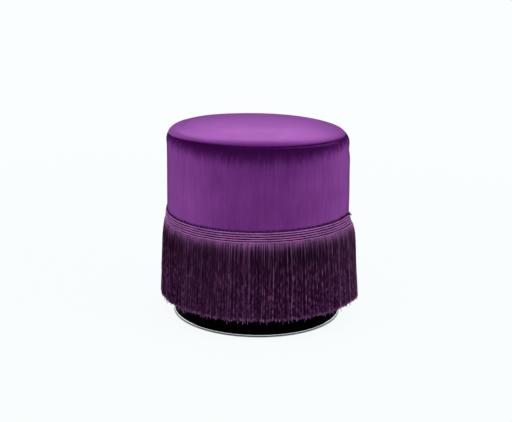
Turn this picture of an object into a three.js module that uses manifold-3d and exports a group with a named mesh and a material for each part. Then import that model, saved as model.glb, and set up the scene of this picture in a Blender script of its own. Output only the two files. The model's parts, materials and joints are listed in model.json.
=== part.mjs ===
// Round fringed tuffet: an upholstered velvet drum on a recessed black plinth.
// Millimetres, +Z up. The origin is on the floor, under the middle of the seat.

import * as THREE from 'three';
import { mergeVertices } from 'three/addons/utils/BufferGeometryUtils.js';
import Module from 'manifold-3d';

const wasm = await Module();
wasm.setup();

// Seat and velvet covers
const overallHeight = 408.5;
const crownRise = 5;
const wallRadius = 195;
const shoulderRadius = 24;
const shoulderBulge = 1;
const waistDrop = 54;
const seamAngle = THREE.MathUtils.degToRad(50);
const velvetThickness = 2;
const hemWidth = 60;
const hemRound = 3;

// Drum inside the covers
const foamThickness = 58;
const paddingThickness = 5.4;
const shellThickness = 4;
const deckThickness = 12;
const baseBoardThickness = 15;
const postSide = 30;
const postInset = 8;
const breatherRadius = 10;
const breatherCircle = 90;

// Plinth, its metal ring and the pads that it stands on
const plinthRecess = 16;
const plinthHeight = 54.9;
const hoopThickness = 9;
const blockWidth = 36;
const blockDepth = 32;
const ringProud = 2.5;
const ringWidth = 25;
const ringThickness = 3.2;
const ringEdge = 0.7;
const dustCoverThickness = 1;
const glideRadius = 9;
const glideThickness = 1.5;
const glideEdge = 0.4;

// Braid heading, sewn round the lower wall
const trimTop = 235;
const braidHeight = 24;
const braidBase = 1.4;
const cordHeight = 1.4;
const cordFlankShare = 0.22;
const tailReach = 6.5;
const tailLength = 16;
const tailThickness = 1.6;
const tailHeight = 10;
const tailDrop = 13;
const tailAngle = THREE.MathUtils.degToRad(-6);

// Fringe, hanging from a header bead under the braid
const beadHeight = 6;
const beadDepth = 5.2;
const kneeDrop = 13;
const kneeFlare = 8.4;
const tipFlare = 18.4;
const tipHeight = 46;
const strandDepth = 2.6;
const strandGap = 0.5;
const strandEmbed = 1.5;
const raggedness = 3.5;
const tipDriftShare = 0.05;

// Screws, all of one form; each is as long as what it passes through and its bite in the far wood
const screwHeadRadius = 4.2;
const screwHeadDepth = 2.4;
const screwShankRadius = 2.1;
const screwPointLength = 5;
const postScrewBite = 30;
const plinthScrewBite = 10;
const ringScrewBite = 18;

// Fits
const clearance = 0.3;
const cutOverrun = 1;

// Counts and steps
const postCount = 4;
const blockCount = 4;
const breatherCount = 4;
const cordCount = 5;
const strandsPerQuarter = 75;
const roundSteps = 52;
const smallSteps = 8;
const padSteps = 12;
const shoulderSteps = 2;
const crownShares = [0, 0.4, 0.75, 1];

const fullTurn = Math.PI * 2;
const quarterTurn = Math.PI / 2;
const goldenAngle = Math.PI * (3 - Math.sqrt(5));

// Heights, worked up from the floor
const ringBottom = glideThickness + clearance;
const ringTop = ringBottom + ringThickness;
const plinthBottom = ringTop + clearance;
const plinthTop = plinthBottom + plinthHeight;
const dustCoverTop = plinthBottom + dustCoverThickness;
const blockBottom = dustCoverTop + clearance;
const coverBottom = plinthTop + clearance;
const baseBoardBottom = coverBottom + velvetThickness + clearance;
const baseBoardTop = baseBoardBottom + baseBoardThickness;
const postBottom = baseBoardTop + clearance;

// Heights, worked down from the seat
const seatEdgeHeight = overallHeight - crownRise;
const shoulderCentreHeight = seatEdgeHeight - shoulderRadius;
const waistHeight = seatEdgeHeight - waistDrop;
const foamInset = velvetThickness + clearance;
const foamBottom = seatEdgeHeight - foamInset - foamThickness;
const deckTop = foamBottom - clearance;
const deckBottom = deckTop - deckThickness;
const postTop = deckBottom - clearance;

// Radii, worked in from the wall
const shoulderCentreRadius = wallRadius + shoulderBulge - shoulderRadius;
const paddingOuter = wallRadius - velvetThickness - clearance;
const paddingInner = paddingOuter - paddingThickness;
const shellOuter = paddingInner - clearance;
const shellInner = shellOuter - shellThickness;
const boardRadius = shellInner - clearance;
const postRadius = shellInner - postInset - postSide / 2;
const hemInner = wallRadius - hemWidth;
const plinthRadius = wallRadius - plinthRecess;
const hoopInner = plinthRadius - hoopThickness;
const ringRadius = plinthRadius + ringProud;
const ringInner = ringRadius - ringWidth;
const glideCircle = (ringInner + ringRadius) / 2;

// A block's outer face is flat, so its corners are what meets the hoop
const hoopFlatRadius = hoopInner * Math.cos(Math.PI / roundSteps);
const blockOuter = Math.sqrt(hoopFlatRadius ** 2 - (blockWidth / 2) ** 2) - clearance;
const blockInner = blockOuter - blockDepth;
const blockRadius = (blockInner + blockOuter) / 2;
const ringScrewRadius = (ringInner + blockOuter) / 2;
const plinthScrewRadius = (blockInner + ringInner) / 2;

const deckScrewLength = deckTop - postTop + postScrewBite;
const postScrewLength = postBottom - baseBoardBottom + postScrewBite;
const plinthScrewLength = baseBoardBottom - blockBottom + plinthScrewBite;
const ringScrewLength = blockBottom - ringBottom + ringScrewBite;

// Trim places, worked out from the wall that it is sewn to
const braidInner = wallRadius + clearance;
const braidOuter = braidInner + braidBase;
const braidBottom = trimTop - braidHeight;
const beadTop = braidBottom - clearance;
const beadBottom = beadTop - beadHeight;
const beadInner = braidInner;
const beadOuter = beadInner + beadDepth;
const strandRoot = beadInner + (beadDepth - strandDepth) / 2;

// Geometry helpers

// Turns every face outward, whichever way round its outline was drawn.
function outward(geometry) {
  const shape = geometry.index ? geometry.toNonIndexed() : geometry;
  const place = shape.getAttribute('position');
  const a = new THREE.Vector3();
  const b = new THREE.Vector3();
  const c = new THREE.Vector3();
  const corners = [];
  let volume = 0;
  for (let i = 0; i < place.count; i += 3) {
    a.fromBufferAttribute(place, i);
    b.fromBufferAttribute(place, i + 1);
    c.fromBufferAttribute(place, i + 2);
    volume += a.dot(b.clone().cross(c));
    corners.push([a.toArray(), b.toArray(), c.toArray()]);
  }
  const ordered = corners.map(([p, q, r]) => (volume > 0 ? [p, q, r] : [p, r, q]));
  const result = new THREE.BufferGeometry();
  result.setAttribute('position', new THREE.Float32BufferAttribute(ordered.flat(2), 3));
  return mergeVertices(result);
}

// Revolves an outline of (radius, height) points round the vertical axis.
function revolve(outline, steps) {
  const lathe = new THREE.LatheGeometry(outline, steps);
  return outward(lathe.rotateX(quarterTurn));
}

function point(radius, height) {
  return new THREE.Vector2(radius, height);
}

function closed(outline) {
  return [...outline, outline[0].clone()];
}

// A ring or tube of rectangular section.
function tube(inner, outer, bottom, top) {
  const section = [point(inner, bottom), point(outer, bottom), point(outer, top), point(inner, top)];
  return revolve(closed(section), roundSteps);
}

function disc(radius, bottom, top, steps) {
  const section = [point(0, bottom), point(radius, bottom), point(radius, top), point(0, top)];
  return revolve(section, steps);
}

// A slab of a flat outline, standing between two heights.
function slab(outline, bottom, top, steps) {
  const extrusion = new THREE.ExtrudeGeometry(outline, {
    depth: top - bottom,
    bevelEnabled: false,
    curveSegments: steps,
  });
  return outward(extrusion.translate(0, 0, bottom));
}

// Part of a ring, between two angles.
function arcSlab(inner, outer, start, end, bottom, top, steps) {
  const outline = new THREE.Shape();
  outline.absarc(0, 0, outer, start, end, false);
  outline.absarc(0, 0, inner, end, start, true);
  outline.closePath();
  return slab(outline, bottom, top, steps);
}

// Skins a row of rings, each a list of the same number of points, and caps both ends.
function loft(rings) {
  const sides = rings[0].length;
  const faces = [];
  for (let k = 0; k + 1 < rings.length; k += 1) {
    for (let i = 0; i < sides; i += 1) {
      const j = (i + 1) % sides;
      faces.push(rings[k][i], rings[k][j], rings[k + 1][j]);
      faces.push(rings[k][i], rings[k + 1][j], rings[k + 1][i]);
    }
  }
  const first = rings[0];
  const last = rings[rings.length - 1];
  for (let i = 1; i + 1 < sides; i += 1) {
    faces.push(first[0], first[i + 1], first[i]);
    faces.push(last[0], last[i], last[i + 1]);
  }
  return outward(new THREE.BufferGeometry().setFromPoints(faces));
}

function toSolid(geometry) {
  return new wasm.Manifold(new wasm.Mesh({
    numProp: 3,
    vertProperties: geometry.getAttribute('position').array,
    triVerts: new Uint32Array(geometry.index.array),
  }));
}

function fromSolid(solid) {
  const mesh = solid.getMesh();
  const geometry = new THREE.BufferGeometry();
  geometry.setAttribute('position', new THREE.BufferAttribute(mesh.vertProperties, 3));
  geometry.setIndex(new THREE.BufferAttribute(mesh.triVerts, 1));
  return geometry;
}

function cut(geometry, cutters) {
  const rest = cutters.reduce((solid, cutter) => solid.subtract(toSolid(cutter)), toSolid(geometry));
  return fromSolid(rest);
}

function join(geometries) {
  const [first, ...others] = geometries.map(toSolid);
  return fromSolid(others.reduce((solid, other) => solid.add(other), first));
}

// Angles of pieces that stand at even steps round the middle.
function evenAngles(count, start) {
  return Array.from({ length: count }, (_, i) => start + (fullTurn * i) / count);
}

// Copies of a cutter, moved out to a radius and turned to each angle.
function copiesAround(geometry, radius, angles) {
  return angles.map((angle) => geometry.clone().translate(radius, 0, 0).rotateZ(angle));
}

// Posts and glides stand between the plinth's blocks
const postAngles = evenAngles(postCount, fullTurn / postCount / 2);
const blockAngles = evenAngles(blockCount, 0);

// Finishes

function finish(color, roughness, metalness = 0) {
  return () => new THREE.MeshStandardMaterial({ color, roughness, metalness });
}

const velvet = finish('#6e377d', 0.85);
const braidYarn = finish('#7a4e80', 0.8);
const fringeYarn = finish('#3e213c', 0.8);
const foam = finish('#e6dcc0', 0.95);
const wadding = finish('#f0efe9', 1);
const plywood = finish('#c9a878', 0.7);
const pine = finish('#d8b88a', 0.7);
const hardboard = finish('#8b6a48', 0.75);
const blackPaint = finish('#070707', 0.6);
const blackFabric = finish('#161616', 0.95);
const polishedMetal = finish('#cfcfd2', 0.12, 1);
const zincSteel = finish('#9a9ca0', 0.35, 1);
const blackNylon = finish('#1c1c1c', 0.5);

function piece(name, geometry, material) {
  const mesh = new THREE.Mesh(geometry, material());
  mesh.name = name;
  return mesh;
}

// Screws

// Outline of a countersunk screw that points down, its head flush with height 0.
function screwOutline(length, growth) {
  return [
    point(0, -length - growth),
    point(screwShankRadius + growth, screwPointLength - length),
    point(screwShankRadius + growth, -screwHeadDepth),
    point(screwHeadRadius + growth, 0),
  ];
}

function screw(length, headHeight, pointsUp) {
  const geometry = revolve([...screwOutline(length, 0), point(0, 0)], smallSteps);
  return geometry.rotateX(pointsUp ? Math.PI : 0).translate(0, 0, headHeight);
}

// The room that a screw takes, open above its head.
function screwRoom(length, headHeight, pointsUp) {
  const mouth = [point(screwHeadRadius + clearance, cutOverrun), point(0, cutOverrun)];
  const geometry = revolve([...screwOutline(length, clearance), ...mouth], smallSteps);
  return geometry.rotateX(pointsUp ? Math.PI : 0).translate(0, 0, headHeight);
}

const deckScrewRoom = screwRoom(deckScrewLength, deckTop, false);
const postScrewRoom = screwRoom(postScrewLength, baseBoardBottom, true);
const plinthScrewRoom = screwRoom(plinthScrewLength, blockBottom, true);
const ringScrewRoom = screwRoom(ringScrewLength, ringBottom, true);

// Upholstery

// A point on the shoulder's round, drawn in from the velvet's face.
function shoulderPoint(angle, inset) {
  const radius = shoulderRadius - inset;
  const out = shoulderCentreRadius + radius * Math.cos(angle);
  return point(out, shoulderCentreHeight + radius * Math.sin(angle));
}

function shoulderArc(start, end, inset, steps) {
  return Array.from({ length: steps + 1 }, (_, i) => shoulderPoint(start + ((end - start) * i) / steps, inset));
}

// The crown, from the middle of the seat out to where the shoulder starts.
function crownArc(inset) {
  return crownShares.map((share) => {
    const rise = crownRise * (1 - share * share);
    return point(shoulderCentreRadius * share, seatEdgeHeight + rise - inset);
  });
}

const seamGapAngle = clearance / 2 / shoulderRadius;

function topPanelArc(inset) {
  const shoulder = shoulderArc(quarterTurn, seamAngle + seamGapAngle, inset, shoulderSteps);
  return [...crownArc(inset), ...shoulder.slice(1)];
}

function topCover() {
  const outer = topPanelArc(0);
  const inner = topPanelArc(velvetThickness);
  return revolve([...outer, ...inner.reverse()], roundSteps);
}

// The side band runs down the wall and turns in under the drum, where the plinth's screws pierce it.
function sideCover() {
  const inside = wallRadius - velvetThickness;
  const hemTop = coverBottom + velvetThickness;
  const outer = [
    ...shoulderArc(seamAngle - seamGapAngle, 0, 0, shoulderSteps),
    point(wallRadius, waistHeight),
    point(wallRadius, coverBottom + hemRound),
    point(wallRadius - hemRound, coverBottom),
    point(hemInner, coverBottom),
  ];
  const inner = [
    point(hemInner, hemTop),
    point(inside, hemTop),
    point(inside, waistHeight),
    ...shoulderArc(0, seamAngle - seamGapAngle, velvetThickness, shoulderSteps),
  ];
  const band = revolve(closed([...outer, ...inner]), roundSteps);
  return cut(band, copiesAround(plinthScrewRoom, plinthScrewRadius, blockAngles));
}

function seatFoam() {
  const wall = [point(paddingOuter, foamBottom)];
  if (foamBottom < waistHeight) {
    wall.push(point(paddingOuter, waistHeight));
  }
  const lower = shoulderArc(0, seamAngle, foamInset, shoulderSteps);
  const upper = shoulderArc(seamAngle, quarterTurn, foamInset, shoulderSteps);
  const crown = crownArc(foamInset).reverse();
  const outline = [point(0, foamBottom), ...wall, ...lower, ...upper.slice(1), ...crown.slice(1)];
  return revolve(outline, roundSteps);
}

// Drum

function seatDeck() {
  const breather = disc(breatherRadius, deckBottom - cutOverrun, deckTop + cutOverrun, smallSteps);
  return cut(disc(boardRadius, deckBottom, deckTop, roundSteps), [
    breather,
    ...copiesAround(breather, breatherCircle, evenAngles(breatherCount, 0)),
    ...copiesAround(deckScrewRoom, postRadius, postAngles),
  ]);
}

function baseBoard() {
  const low = baseBoardBottom - cutOverrun;
  const breather = disc(breatherRadius, low, baseBoardTop + cutOverrun, smallSteps);
  return cut(disc(boardRadius, baseBoardBottom, baseBoardTop, roundSteps), [
    breather,
    ...copiesAround(postScrewRoom, postRadius, postAngles),
    ...copiesAround(plinthScrewRoom, plinthScrewRadius, blockAngles),
  ]);
}

function post() {
  const length = postTop - postBottom;
  const timber = outward(new THREE.BoxGeometry(postSide, postSide, length));
  return cut(timber.translate(0, 0, postBottom + length / 2), [deckScrewRoom, postScrewRoom]);
}

// A post and the two screws that hold it between the boards.
function postGroup(angle, number) {
  const column = new THREE.Group();
  column.add(piece(`post_${number}`, post(), pine));
  column.add(piece(`deck_screw_${number}`, screw(deckScrewLength, deckTop, false), zincSteel));
  column.add(piece(`post_screw_${number}`, screw(postScrewLength, baseBoardBottom, true), zincSteel));
  column.children.forEach((child) => child.position.setX(postRadius));
  column.rotation.z = angle;
  return column;
}

// Plinth

function plinthBlock() {
  const height = plinthTop - blockBottom;
  const timber = outward(new THREE.BoxGeometry(blockDepth, blockWidth, height));
  timber.translate(blockRadius, 0, blockBottom + height / 2);
  return cut(timber, [
    plinthScrewRoom.clone().translate(plinthScrewRadius, 0, 0),
    ringScrewRoom.clone().translate(ringScrewRadius, 0, 0),
  ]);
}

// A glue block, the screw up into the drum and the screw that holds the ring.
function blockGroup(angle, number) {
  const station = new THREE.Group();
  const plinthScrew = piece(`plinth_screw_${number}`, screw(plinthScrewLength, blockBottom, true), zincSteel);
  const ringScrew = piece(`ring_screw_${number}`, screw(ringScrewLength, ringBottom, true), zincSteel);
  plinthScrew.position.setX(plinthScrewRadius);
  ringScrew.position.setX(ringScrewRadius);
  station.add(piece(`plinth_block_${number}`, plinthBlock(), pine), plinthScrew, ringScrew);
  station.rotation.z = angle;
  return station;
}

function dustCover() {
  const sheet = disc(hoopInner - clearance, plinthBottom, dustCoverTop, roundSteps);
  return cut(sheet, copiesAround(ringScrewRoom, ringScrewRadius, blockAngles));
}

function baseRing() {
  const section = [
    point(ringInner, ringBottom),
    point(ringRadius - ringEdge, ringBottom),
    point(ringRadius, ringBottom + ringEdge),
    point(ringRadius, ringTop - ringEdge),
    point(ringRadius - ringEdge, ringTop),
    point(ringInner, ringTop),
  ];
  return cut(revolve(closed(section), roundSteps), copiesAround(ringScrewRoom, ringScrewRadius, blockAngles));
}

function glide() {
  const outline = [
    point(0, 0),
    point(glideRadius - glideEdge, 0),
    point(glideRadius, glideEdge),
    point(glideRadius, glideThickness),
    point(0, glideThickness),
  ];
  return revolve(outline, padSteps);
}

function glidePiece(angle, number) {
  const pad = piece(`glide_${number}`, glide(), blackNylon);
  pad.position.set(glideCircle * Math.cos(angle), glideCircle * Math.sin(angle), 0);
  return pad;
}

// Braid

// Five cords lie side by side up the braid, each a low flat-topped ridge.
function braid() {
  const pitch = braidHeight / cordCount;
  const flank = pitch * cordFlankShare;
  const crest = braidOuter + cordHeight;
  const face = [];
  for (let i = 0; i < cordCount; i += 1) {
    const low = braidBottom + pitch * i;
    face.push(point(braidOuter, low));
    face.push(point(crest, low + flank));
    face.push(point(crest, low + pitch - flank));
  }
  face.push(point(braidOuter, trimTop));
  return revolve(closed([point(braidInner, braidBottom), ...face, point(braidInner, trimTop)]), roundSteps);
}

// The braid's loose end, lying on the braid and curling away from it.
function braidTail() {
  const seat = braidOuter + cordHeight + clearance;
  const top = trimTop - tailDrop;
  const outline = new THREE.Shape();
  outline.moveTo(seat, 0);
  outline.quadraticCurveTo(seat, tailLength / 2, seat + tailReach - tailThickness, tailLength);
  outline.lineTo(seat + tailReach, tailLength - tailThickness);
  outline.quadraticCurveTo(seat + tailThickness, tailLength / 2, seat + tailThickness, 0);
  outline.closePath();
  return slab(outline, top - tailHeight, top, shoulderSteps * 2).rotateZ(tailAngle);
}

// Fringe

// One strand: three-sided, its ridge outward, springing out to a knee and hanging from there.
// `drift` moves the tip sideways as a share of the strand's pitch, and `drop` lengthens it.
function strand(angle, drift, drop) {
  const pitchAngle = quarterTurn / strandsPerQuarter;
  const rootWidth = strandRoot * pitchAngle - strandGap;
  const tipRadius = wallRadius + tipFlare;
  const tipWidth = tipRadius * pitchAngle - strandGap;
  const stations = [
    { height: beadBottom + strandEmbed, radius: strandRoot, width: rootWidth, turn: 0 },
    { height: beadBottom - kneeDrop, radius: wallRadius + kneeFlare, width: rootWidth, turn: 0 },
    { height: tipHeight - drop, radius: tipRadius, width: tipWidth, turn: drift * pitchAngle },
  ];
  const up = new THREE.Vector3(0, 0, 1);
  return loft(stations.map(({ height, radius, width, turn }) => {
    const halfWidth = width / 2;
    const corners = [
      new THREE.Vector3(radius, -halfWidth, height),
      new THREE.Vector3(radius + strandDepth, 0, height),
      new THREE.Vector3(radius, halfWidth, height),
    ];
    return corners.map((corner) => corner.applyAxisAngle(up, angle + turn));
  }));
}

// A quarter of the fringe: its slice of the header bead, and the strands that hang from it.
function fringeQuarter(middle) {
  const gapAngle = clearance / 2 / beadInner;
  const start = middle - quarterTurn / 2 + gapAngle;
  const end = middle + quarterTurn / 2 - gapAngle;
  const bead = arcSlab(beadInner, beadOuter, start, end, beadBottom, beadTop, roundSteps / 4);
  const strands = Array.from({ length: strandsPerQuarter }, (_, i) => {
    const angle = middle - quarterTurn / 2 + (quarterTurn * (i + 0.5)) / strandsPerQuarter;
    const wave = Math.sin(goldenAngle * (i + strandsPerQuarter * middle));
    return strand(angle, tipDriftShare * wave, raggedness * wave);
  });
  return join([bead, ...strands]);
}

// Assembly

const tuffet = new THREE.Group();

tuffet.add(
  piece('top_cover', topCover(), velvet),
  piece('side_cover', sideCover(), velvet),
  piece('seat_foam', seatFoam(), foam),
  piece('side_padding', tube(paddingInner, paddingOuter, baseBoardBottom, deckTop), wadding),
  piece('drum_shell', tube(shellInner, shellOuter, baseBoardBottom, deckTop), hardboard),
  piece('seat_deck', seatDeck(), plywood),
  piece('base_board', baseBoard(), plywood),
);
postAngles.forEach((angle, i) => tuffet.add(postGroup(angle, i + 1)));

tuffet.add(
  piece('plinth_hoop', tube(hoopInner, plinthRadius, plinthBottom, plinthTop), blackPaint),
  piece('dust_cover', dustCover(), blackFabric),
  piece('base_ring', baseRing(), polishedMetal),
);
blockAngles.forEach((angle, i) => tuffet.add(blockGroup(angle, i + 1)));
postAngles.forEach((angle, i) => tuffet.add(glidePiece(angle, i + 1)));

tuffet.add(
  piece('braid', braid(), braidYarn),
  piece('braid_tail', braidTail(), braidYarn),
  piece('fringe_right', fringeQuarter(0), fringeYarn),
  piece('fringe_back', fringeQuarter(quarterTurn), fringeYarn),
  piece('fringe_left', fringeQuarter(quarterTurn * 2), fringeYarn),
  piece('fringe_front', fringeQuarter(-quarterTurn), fringeYarn),
);

export default tuffet;
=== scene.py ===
import json
import math

import bmesh
import bpy
from mathutils import Matrix, Vector, noise
from mathutils.bvhtree import BVHTree


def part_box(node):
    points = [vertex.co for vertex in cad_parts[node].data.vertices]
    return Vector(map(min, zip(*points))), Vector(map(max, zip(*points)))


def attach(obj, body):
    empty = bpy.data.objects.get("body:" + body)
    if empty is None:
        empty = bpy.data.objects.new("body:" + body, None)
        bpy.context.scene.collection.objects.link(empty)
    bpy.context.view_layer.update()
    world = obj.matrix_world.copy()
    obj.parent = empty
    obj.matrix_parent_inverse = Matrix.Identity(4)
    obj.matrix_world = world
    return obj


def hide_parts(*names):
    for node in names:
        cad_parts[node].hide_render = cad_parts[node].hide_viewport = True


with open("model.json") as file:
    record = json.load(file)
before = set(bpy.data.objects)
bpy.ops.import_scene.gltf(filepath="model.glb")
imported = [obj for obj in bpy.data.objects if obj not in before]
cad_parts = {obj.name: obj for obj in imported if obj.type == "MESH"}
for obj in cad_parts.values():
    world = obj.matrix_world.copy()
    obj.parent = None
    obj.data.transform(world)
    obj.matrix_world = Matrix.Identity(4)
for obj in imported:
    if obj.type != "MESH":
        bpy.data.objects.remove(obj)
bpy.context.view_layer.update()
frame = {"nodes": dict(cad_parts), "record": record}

mm = 0.001

# The seat's outline, as in the CAD source
wall_radius = 195 * mm
shoulder_radius = 24 * mm
shoulder_bulge = 1 * mm
seat_edge = 403.5 * mm
crown_rise = 5 * mm
waist_height = 349.5 * mm
hem_height = 60.5 * mm
hem_round = 3 * mm
hem_reach = 135 * mm
velvet_thickness = 2 * mm

# The seam of top panel and side band: drawn in over the seat's front, lower at its sides and back
seam_at_front = 2.4 * mm
seam_drop = 28 * mm
seam_skew_share = 0.2
seam_crease = 1.7 * mm
crease_width = 1.3 * mm

# How finely the velvet is built: steps round it, rings on the top, and rows beside the seam, in mm from it
round_steps = 320
inner_rings = 22
near_seam = [0, 0.35, 0.7, 1.1, 1.6, 2.2, 3, 4, 5.5, 7.5, 10, 13, 16.5, 20.5, 25]

# The soft top
voxel = 5 * mm
start_inset = 0.6 * mm
most_puff = 3.6 * mm
puff_pressure = 4.0
puff_frames = 20
puff_steps = 120
top_roll = 10.5 * mm
roll_in_middle = 0.18
top_roll_width = 18 * mm
side_roll = 1.0 * mm
side_roll_width = 5 * mm
wall_fullness = 1.4 * mm
right_softness = 2.0 * mm
right_slack = 2.6 * mm
left_fullness = 3.6 * mm
join_depth = 0.8 * mm
join_width = 1.2 * mm
unevenness = 0.35 * mm

# The pile's lean, as the tangent of its angle; on the top it grows from the front edge to the back one, which
# darkens the top's back, seen from the front, as painted shade
lean_on_wall = 0.58
lean_at_back = 0.8
pressed_on_wall = 0.43
# How wide the darkening along the seam is: crushed pile and painted shade in its crease
seam_crush_and_shade_width = 2.7 * mm

# The painted shade band under the seam: the height where it is half gone
band_height = 380.0 * mm
band_rise_at_sides = 6.5 * mm
band_reach = 25 * mm

# How much of the pile's flanks one sees, for looks from straight along the pile (0) to right across it (1)
flanks_seen = [(0.0, 0.385), (0.15, 0.45), (0.30, 0.585), (0.50, 0.83),
               (0.68, 0.97), (0.80, 1.0), (0.90, 0.98), (1.0, 0.80)]

# The braid
braid_bottom = 211 * mm
braid_top = 235 * mm
braid_cords = 5
cord_pitch = 4.8 * mm
tape_radius = 196.5 * mm
tape_steps = 480
cord_ring = 197.8 * mm
twist_radius = 0.65 * mm
ply_radius = 0.82 * mm
cord_turns = 206
picot_count = 206

# The trim's level: sewn a little low, lower at the left, and sagging where its ends meet at the right.
# It stands off the wall towards its lower edge, most at that end.
trim_sag = -2.4 * mm
trim_tilt = 3.4 * mm
end_sag = 4 * mm
sag_width = 0.75
end_dip = 12.5 * mm
dip_width = 0.20
dip_width_behind = 0.48
trim_lean = 1.8 * mm
end_lean = 5.2 * mm

# The fringe
tufts_per_quarter = 150
threads_per_tuft = 21
thread_points = 10
thread_radius = 0.28 * mm
root_height = 213.6 * mm
tip_height = 51 * mm
root_radius = 198.6 * mm
stray_length = 8 * mm
stitch_drop = 2.2 * mm

# The studio
background = (0.965, 1.0, 1.0)
floor_glow = 0.94
world_light = 0.42


# Small helpers for points and meshes

def turns(steps):
    """Azimuths once round in equal steps. An azimuth is 0 at the front and grows towards +X."""
    return [2 * math.pi * j / steps for j in range(steps)]


def round_point(radius, azimuth, height):
    return Vector((radius * math.sin(azimuth), -radius * math.cos(azimuth), height))


def ease(value, low, high):
    t = min(1.0, max(0.0, (value - low) / (high - low)))
    return t * t * (3 - 2 * t)


def outwards(mesh):
    """Merges doubled points, turns all faces outwards and shades them smooth."""
    work = bmesh.new()
    work.from_mesh(mesh)
    bmesh.ops.remove_doubles(work, verts=work.verts, dist=1e-6)
    bmesh.ops.recalc_face_normals(work, faces=work.faces)
    work.to_mesh(mesh)
    work.free()
    mesh.polygons.foreach_set("use_smooth", [True] * len(mesh.polygons))
    mesh.update()


def ring_mesh(name, rows, pole=None, looped=False):
    """Rings of points, each joined to the next; the first and last may close to poles, or to each other."""
    mesh = bpy.data.meshes.new(name)
    points = [p for row in rows for p in row]
    n = len(rows[0])
    faces = []
    for i in range(len(rows) - (0 if looped else 1)):
        k = (i + 1) % len(rows)
        for j in range(n):
            m = (j + 1) % n
            faces.append((i * n + j, i * n + m, k * n + m, k * n + j))
    if pole is not None:
        for end, middle in ((0, pole[0]), (len(rows) - 1, pole[1])):
            points.append(middle)
            at = len(points) - 1
            for j in range(n):
                m = (j + 1) % n
                faces.append((at, end * n + m, end * n + j) if end == 0 else (at, end * n + j, end * n + m))
    mesh.from_pydata(points, [], faces)
    outwards(mesh)
    return mesh


def show(name, mesh, *finishes):
    made = bpy.data.objects.new(name, mesh)
    bpy.context.scene.collection.objects.link(made)
    for finish in finishes:
        mesh.materials.append(finish)
    return made


# Small helpers for node trees

def reckoner(operation, swapped=False):
    """A method that makes a math node of a node's output and another value, or of them swapped."""
    def method(self, other):
        return calc(operation, other, self) if swapped else calc(operation, self, other)
    return method


class Flow:
    """A node's output to reckon with: each sum or product of it is a math node in the same tree."""

    def __init__(self, socket):
        self.socket = socket
        self.tree = socket.id_data

    __add__, __radd__ = reckoner("ADD"), reckoner("ADD", swapped=True)
    __sub__, __rsub__ = reckoner("SUBTRACT"), reckoner("SUBTRACT", swapped=True)
    __mul__, __rmul__ = reckoner("MULTIPLY"), reckoner("MULTIPLY", swapped=True)
    __truediv__, __rtruediv__ = reckoner("DIVIDE"), reckoner("DIVIDE", swapped=True)
    __mod__ = reckoner("MODULO")
    __pow__ = reckoner("POWER")


def put(socket, value):
    """Links an input to a node's output, or sets it."""
    if isinstance(value, Flow):
        value = value.socket
    if isinstance(value, bpy.types.NodeSocket):
        socket.id_data.links.new(value, socket)
    elif socket.type == "RGBA":
        socket.default_value = (*value, 1)
    else:
        socket.default_value = value


def add(tree, kind, inputs=(), out=0, **settings):
    """One output of a new node with these settings and inputs, each input linked or set."""
    made = tree.nodes.new(kind)
    for name, value in settings.items():
        setattr(made, name, value)
    for key, value in dict(inputs).items():
        put(made.inputs[key], value)
    return Flow(made.outputs[out])


def calc(operation, *values, clamp=False):
    """The result of a math node, in the tree of its values."""
    tree = [value.tree for value in values if isinstance(value, Flow)][0]
    return add(tree, "ShaderNodeMath", enumerate(values), operation=operation, use_clamp=clamp)


def vector_calc(operation, *values):
    return add(values[0].tree, "ShaderNodeVectorMath", enumerate(values), operation=operation)


def scaled(vector, factor):
    return add(vector.tree, "ShaderNodeVectorMath", {0: vector, "Scale": factor}, operation="SCALE")


def spread(value, low, high, to_low=0.0, to_high=1.0, smooth=False):
    """The value's range low to high, spread over to_low to to_high and held at the ends."""
    ends = {"Value": value, "From Min": low, "From Max": high, "To Min": to_low, "To Max": to_high}
    kind = "SMOOTHSTEP" if smooth else "LINEAR"
    return add(value.tree, "ShaderNodeMapRange", ends, interpolation_type=kind)


def joined(x, y=0.0, z=0.0):
    return add(x.tree, "ShaderNodeCombineXYZ", {0: x, 1: y, 2: z})


def parts(vector):
    made = vector.tree.nodes.new("ShaderNodeSeparateXYZ")
    put(made.inputs[0], vector)
    return [Flow(socket) for socket in made.outputs]


def speckle(place, scale, detail=2.0, rough=0.5):
    inputs = {"Vector": place, "Scale": scale, "Detail": detail, "Roughness": rough}
    return add(place.tree, "ShaderNodeTexNoise", inputs)


# The camera, as it stood for the photograph

def place_camera():
    camera = bpy.data.cameras.new("photo_camera")
    camera.lens = 86.27
    camera.sensor_width = 36
    camera.clip_start = 0.01
    holder = show("photo_camera", camera)
    turn = Matrix.Rotation(math.radians(90 - 15.9), 4, "X") @ Matrix.Rotation(math.radians(0.8), 4, "Z")
    holder.matrix_world = Matrix.Translation((-0.0038, -2.566, 0.9526)) @ turn
    bpy.context.scene.camera = holder


# The velvet

edge_radius = wall_radius + shoulder_bulge - shoulder_radius
crown_radius = (edge_radius ** 2 + crown_rise ** 2) / (2 * crown_rise)
shoulder_height = seat_edge - shoulder_radius
shoulder_length = shoulder_radius * math.pi / 2
waist_length = shoulder_height - waist_height
turn_length = hem_round * math.pi / 2
hem_length = wall_radius - hem_round - hem_reach

# Distances along the outline, from the crown's middle
crown_length = crown_radius * math.asin(edge_radius / crown_radius)
waist_start = crown_length + shoulder_length
wall_start = waist_start + waist_length
turn_start = wall_start + waist_height - hem_height - hem_round
hem_start = turn_start + turn_length
braid_way = wall_start + waist_height - braid_top


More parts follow.
